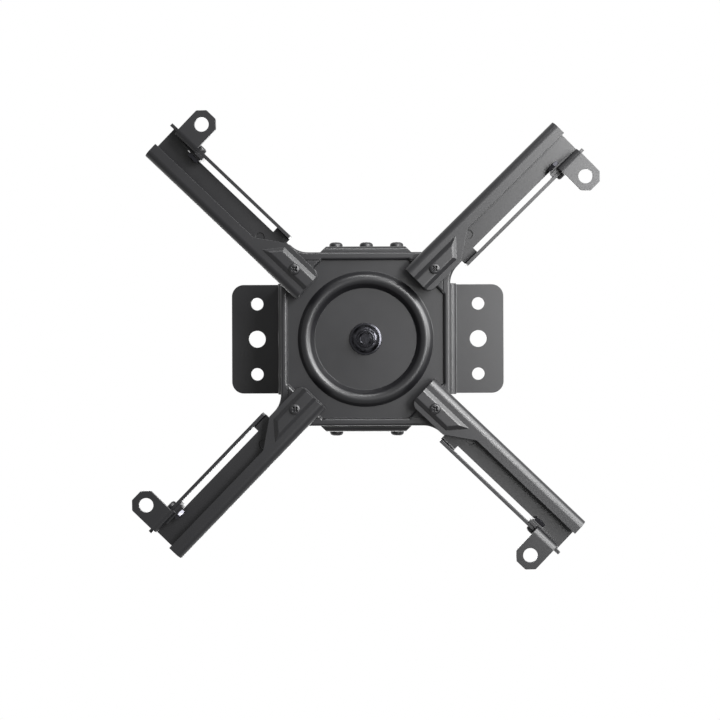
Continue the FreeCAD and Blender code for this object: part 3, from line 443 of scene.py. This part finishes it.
# %% Hexagon nuts
CONE_SLOPE = math.tan(math.radians(60))
NUT_LEVELS = 6
ARM_NUT_FLATS = 7.0
TILT_NUT_FLATS = 8.0
BORE_SHARE = 0.94
COUNTERSINK_MM = 0.35


def hexagon_radius(angle, flats):
    """Distance from the axis to the side of a hexagon."""
    sector = math.radians(60)
    return flats / 2 / math.cos((angle % sector) - sector / 2)


def nut_levels(flats):
    """Levels below a nut's end face over which the cone cuts its corners."""
    drop = flats / 2 * (1 / math.cos(math.radians(30)) - 1) / CONE_SLOPE
    return [drop * step / NUT_LEVELS for step in range(NUT_LEVELS + 1)]


def make_nut_mesh(name, flats, height, thread):
    """A hexagon nut: outer face at the origin, inner face at -height."""
    bore = thread / 2 * BORE_SHARE
    mouth = bore + COUNTERSINK_MM
    wall = [-level for level in nut_levels(flats)]
    wall += [-height - level for level in reversed(wall)]
    profile = [(bore, -COUNTERSINK_MM), (mouth, 0)] + [(flats / 2, level) for level in wall]
    profile += [(mouth, -height), (bore, COUNTERSINK_MM - height)]

    def shape(angle, radius, level):
        if radius < flats / 2:
            return radius, level
        cone = flats / 2 + min(-level, height + level) * CONE_SLOPE
        return min(hexagon_radius(angle, flats), cone), level

    return turned_mesh(name, profile, shape)


def dress_nut(node, outward, flats, thread):
    """Replace a CAD nut by one with turned corners."""
    outward = Vector(outward)
    mesh = make_nut_mesh("fine_" + node, flats, extent(node, outward), thread)
    return stand_in(mesh, node, outward, black_zinc)


nuts = []
for corner in CORNERS:
    slide = SLIDES["tab_slide_" + corner]
    away = -1 if corner.startswith("front") else 1
    nuts.append(dress_nut("arm_nut_" + corner, (0, 0, 1), ARM_NUT_FLATS, ARM_THREAD))
    nuts.append(dress_nut("tab_nut_" + corner, (slide.y, -slide.x, 0), ARM_NUT_FLATS, ARM_THREAD))
    nuts.append(dress_nut("lock_nut_" + corner, (0, -away, 0), TILT_NUT_FLATS, TILT_THREAD))
nuts.append(dress_nut("tilt_pivot_nut", (0, 1, 0), TILT_NUT_FLATS, TILT_THREAD))
print(len(nuts), "nuts")

# %% [markdown]
# ## The swivel bolt and its flange nut
#
# The pan hangs on one M8 bolt. Its nut has a pressed-on flange like a washer
# and a collar that grips a nylon ring, so it holds without being tight. Seen
# from below it reads as rings: washer, flange, hexagon, collar, bolt tip. The
# tip is a little hollow inside a chamfered rim, the collar's outer edge is a
# quarter round, and the flange is a shallow cone with a rounded edge.

# %% The swivel bolt and its flange nut
BOLT_FLATS = 13.0
BOLT_THREAD = 8
BOLT_HEAD_MM = 5.3
TIP_HOLLOW_MM = 0.25
TIP_RIM_PITCHES = (0.9, 0.75)
TIP_CHAMFER_STEPS = 3
COLLAR_MM = 10.8
COLLAR_HEIGHT_MM = 1.9
COLLAR_ROUND_MM = 0.7
COLLAR_STEPS = 4
RING_LIP_MM = 0.2
RING_LIP_DEPTH_MM = 0.15
NUT_BORE_SHARE = 1.01
CONE_TOP_MM = 2.2
CONE_END_MM = 0.9
FLANGE_EDGE_MM = 0.5
FLANGE_ROUND_MM = 0.4
WASHER_ROOM_MM = 0.2
WASHER_ROUND_MM = 0.4
WASHER_CORNER_MM = 0.12


def make_bolt_mesh(name, head_height, length):
    """A hexagon bolt: tip of the thread at the origin, head at -length."""
    pitch = PITCHES_MM[BOLT_THREAD]
    shank = BOLT_THREAD / 2
    seat = head_height - length
    steps = int((-seat - pitch) / pitch * THREAD_STEPS)
    inner, outer = (shank - pitch * share for share in TIP_RIM_PITCHES)
    profile = [(0, -TIP_HOLLOW_MM), (inner, -TIP_HOLLOW_MM), (outer, 0)]
    profile += [(shank, -pitch * step / THREAD_STEPS) for step in range(TIP_CHAMFER_STEPS, steps)]
    profile += [(shank, seat)]
    profile += [(BOLT_FLATS / 2, seat), (BOLT_FLATS / 2, seat - head_height / 2)]
    profile += [(BOLT_FLATS / 2, -length + level) for level in reversed(nut_levels(BOLT_FLATS))]
    profile += [(0, -length)]

    def shape(angle, radius, level):
        if radius >= BOLT_FLATS / 2:
            cone = BOLT_FLATS / 2 + (length + level) * CONE_SLOPE
            return min(hexagon_radius(angle, BOLT_FLATS), cone), level
        if radius < shank or level <= seat + pitch:
            return radius, level
        phase = (level / pitch - angle / (2 * math.pi)) % 1.0
        lead = min(1.0, (-level) / pitch)
        return radius - pitch * THREAD_DEPTH_SHARE * max(abs(2 * phase - 1), 1 - lead), level

    return turned_mesh(name, profile, shape)


def make_flange_nut_mesh(name, flange, height):
    """A flange nut: face of its collar at the origin, flange at -height."""
    low = -COLLAR_HEIGHT_MM
    bore = BOLT_THREAD / 2 * NUT_BORE_SHARE
    ring = bore + COLLAR_ROUND_MM
    profile = [(bore, -COLLAR_ROUND_MM), (ring, -COLLAR_ROUND_MM), (ring, -RING_LIP_DEPTH_MM),
               (ring + RING_LIP_MM, 0)]
    for step in range(COLLAR_STEPS + 1):
        angle = math.radians(90 * step / COLLAR_STEPS)
        profile.append((COLLAR_MM / 2 - COLLAR_ROUND_MM * (1 - math.sin(angle)),
                        COLLAR_ROUND_MM * (math.cos(angle) - 1)))
    profile += [(COLLAR_MM / 2, low)]
    profile += [(BOLT_FLATS / 2, low - level) for level in nut_levels(BOLT_FLATS)]
    profile += [(BOLT_FLATS / 2, CONE_TOP_MM - height),
                (flange / 2 - FLANGE_ROUND_MM, CONE_END_MM - height),
                (flange / 2, FLANGE_EDGE_MM - height), (flange / 2, -height), (bore, -height)]

    def shape(angle, radius, level):
        if abs(radius - BOLT_FLATS / 2) > 1e-6:
            return radius, level
        cone = BOLT_FLATS / 2 + (low - level) * CONE_SLOPE
        return min(hexagon_radius(angle, BOLT_FLATS), cone), level

    return turned_mesh(name, profile, shape)


def make_washer_mesh(name, outside, height):
    """A flat washer with one rounded edge: face at the origin."""
    rim = outside / 2
    bore = BOLT_THREAD / 2 + WASHER_ROOM_MM
    profile = [(bore, 0), (rim - WASHER_ROUND_MM, 0), (rim - WASHER_CORNER_MM, -WASHER_CORNER_MM),
               (rim, -WASHER_ROUND_MM), (rim, -height), (bore, -height)]
    return turned_mesh(name, profile, round_shape)


DOWN = Vector((0, 0, -1))
SIDEWAYS = Vector((1, 0, 0))
lengths = {node: extent(node, DOWN) for node in ("swivel_bolt", "swivel_nut", "swivel_washer")}
widths = {node: extent(node, SIDEWAYS) for node in ("swivel_nut", "swivel_washer")}
stand_in(make_bolt_mesh("fine_swivel_bolt", BOLT_HEAD_MM, lengths["swivel_bolt"]),
         "swivel_bolt", DOWN, black_zinc)
stand_in(make_flange_nut_mesh("fine_swivel_nut", widths["swivel_nut"], lengths["swivel_nut"]),
         "swivel_nut", DOWN, black_zinc)
stand_in(make_washer_mesh("fine_swivel_washer", widths["swivel_washer"], lengths["swivel_washer"]),
         "swivel_washer", DOWN, black_zinc)
print("bolt, nut and washer:", {node: round(size, 2) for node, size in lengths.items()})

# %% [markdown]
# ## Floor and background
#
# The mount hangs from a ceiling, so the floor lies a room's height below it and
# the camera stands between the two. The photograph's background is plain white,
# so the world shows a white of strength 1 to camera, glossy and transmission
# rays, and the coat mirrors it faintly. Every other ray sees a weak fill, and so
# the background adds no light to the object. The floor takes half of its look
# from the same trick and half from the lamps, which leaves it its shadow.

# %% Floor and world
ROOM_HEIGHT = 2.4
FLOOR_SIZE = 40.0
FLOOR_GLOW = 0.5
FLOOR_COLOUR = "#f2f2f2"
FILL_STRENGTH = 0.005


def seen_as_background(tree):
    """One for camera, glossy and transmission rays, and zero for the light on the object."""
    ray = add_node(tree, "ShaderNodeLightPath")
    total = ray.outputs["Is Camera Ray"]
    for kind in ("Is Glossy Ray", "Is Transmission Ray"):
        total = add_node(tree, "ShaderNodeMath", settings={"operation": "MAXIMUM"},
                         links={0: total, 1: ray.outputs[kind]}).outputs["Value"]
    return total


def make_floor():
    mesh = bpy.data.meshes.new("studio_floor")
    form = bmesh.new()
    bmesh.ops.create_grid(form, x_segments=1, y_segments=1, size=FLOOR_SIZE / 2,
                          matrix=Matrix.Translation((0, 0, -ROOM_HEIGHT)))
    form.to_mesh(mesh)
    form.free()
    floor = bpy.data.objects.new("studio_floor", mesh)
    bpy.context.scene.collection.objects.link(floor)
    material, tree = new_material("pale_studio_floor")
    matt = add_node(tree, "ShaderNodeBsdfPrincipled",
                    Base_Color=linear(FLOOR_COLOUR), Roughness=0.8)
    glow = add_node(tree, "ShaderNodeEmission", Color=linear(FLOOR_COLOUR), Strength=1.0)
    share = add_node(tree, "ShaderNodeMath", settings={"operation": "MULTIPLY"},
                     links={0: seen_as_background(tree)})
    share.inputs[1].default_value = FLOOR_GLOW
    mixed = add_node(tree, "ShaderNodeMixShader",
                     links={0: share.outputs["Value"], 1: matt.outputs["BSDF"],
                            2: glow.outputs["Emission"]})
    add_node(tree, "ShaderNodeOutputMaterial", links={"Surface": mixed.outputs["Shader"]})
    mesh.materials.append(material)
    return floor


def make_world():
    world = bpy.data.worlds.new("studio_world")
    bpy.context.scene.world = world
    world.use_nodes = True
    tree = world.node_tree
    tree.nodes.clear()
    white = add_node(tree, "ShaderNodeBackground", Color=linear("#ffffff"), Strength=1.0)
    fill = add_node(tree, "ShaderNodeBackground", Color=linear("#ffffff"),
                    Strength=FILL_STRENGTH)
    mixed = add_node(tree, "ShaderNodeMixShader",
                     links={0: seen_as_background(tree), 1: fill.outputs["Background"],
                            2: white.outputs["Background"]})
    add_node(tree, "ShaderNodeOutputWorld", links={"Surface": mixed.outputs["Shader"]})


make_floor()
make_world()
print("floor at", -ROOM_HEIGHT, "m")

# %% [markdown]
# ## Lamps
#
# The highlights of the photograph come from its right and upper right, which is
# +X and -Y here. Four soft boxes stand there below the mount, about a metre off:
# the key, a smaller one nearer to the camera, a wide one low at the side, which
# grazes the walls of the arms, and a weak one beyond the picture's top edge. A
# satin black shows its lamps more than its colour, so their places and sizes
# were set until the bright and dark faces lay as in the picture. The fifth
# stands on the ceiling's side and gives the back and the top their form.

# %% Lamps
MOUNT_MIDDLE = Vector((0, 0, -0.05))


def add_lamp(name, spot, size, power):
    """A soft rectangular lamp that faces the mount; metres and watts."""
    data = bpy.data.lights.new(name, "AREA")
    data.shape = "RECTANGLE"
    data.size, data.size_y = size
    data.energy = power
    lamp = bpy.data.objects.new(name, data)
    bpy.context.scene.collection.objects.link(lamp)
    aim = MOUNT_MIDDLE - Vector(spot)
    lamp.location = spot
    lamp.rotation_euler = aim.to_track_quat("-Z", "Y").to_euler()
    return lamp


lamps = [
    add_lamp("key_softbox", (0.42, -0.34, -0.84), (0.30, 0.30), 10.5),
    add_lamp("front_softbox", (0.36, 0.0, -0.93), (0.22, 0.22), 4.2),
    add_lamp("side_softbox", (0.72, -0.40, -0.48), (1.00, 0.50), 19.5),
    add_lamp("far_softbox", (0.0, -0.81, -0.55), (0.26, 0.26), 4.0),
    add_lamp("ceiling_side_softbox", (-0.20, 0.30, 0.95), (0.80, 0.80), 10.0),
]
print(len(lamps), "softboxes")

# %% [markdown]
# ## Camera
#
# The photograph looks straight up at the mount from just under a metre, a
# little to the right of its middle, and is a fifth of a degree off level. Image
# right is +X and image down is +Y, so the picture's top edge points along -Y.
# The mount sits left of the lens axis, and the shift frames it as the picture
# does without tilting the camera, which would make its parallel edges meet.

# %% Camera
CAMERA_SPOT = Vector((0.0213, -0.0005, -0.960))
LENS_MM = 74.73
SENSOR_MM = 36.0
AXIS_PIXEL = (401.0, 338.0)
PICTURE_PIXELS = 720
ROLL = -0.0034

camera_data = bpy.data.cameras.new("camera")
camera_data.lens = LENS_MM
camera_data.sensor_width = SENSOR_MM
camera_data.shift_x = 0.5 - AXIS_PIXEL[0] / PICTURE_PIXELS
camera_data.shift_y = AXIS_PIXEL[1] / PICTURE_PIXELS - 0.5
camera = bpy.data.objects.new("camera", camera_data)
bpy.context.scene.collection.objects.link(camera)
right = Vector((math.cos(ROLL), -math.sin(ROLL), 0))
up = Vector((-math.sin(ROLL), -math.cos(ROLL), 0))
backward = right.cross(up)
turn = Matrix((right, up, backward)).transposed().to_4x4()
camera.matrix_world = Matrix.Translation(CAMERA_SPOT) @ turn
bpy.context.scene.camera = camera
bpy.context.scene.view_settings.view_transform = "Standard"
print("camera looks along", tuple(round(-v, 3) for v in backward))
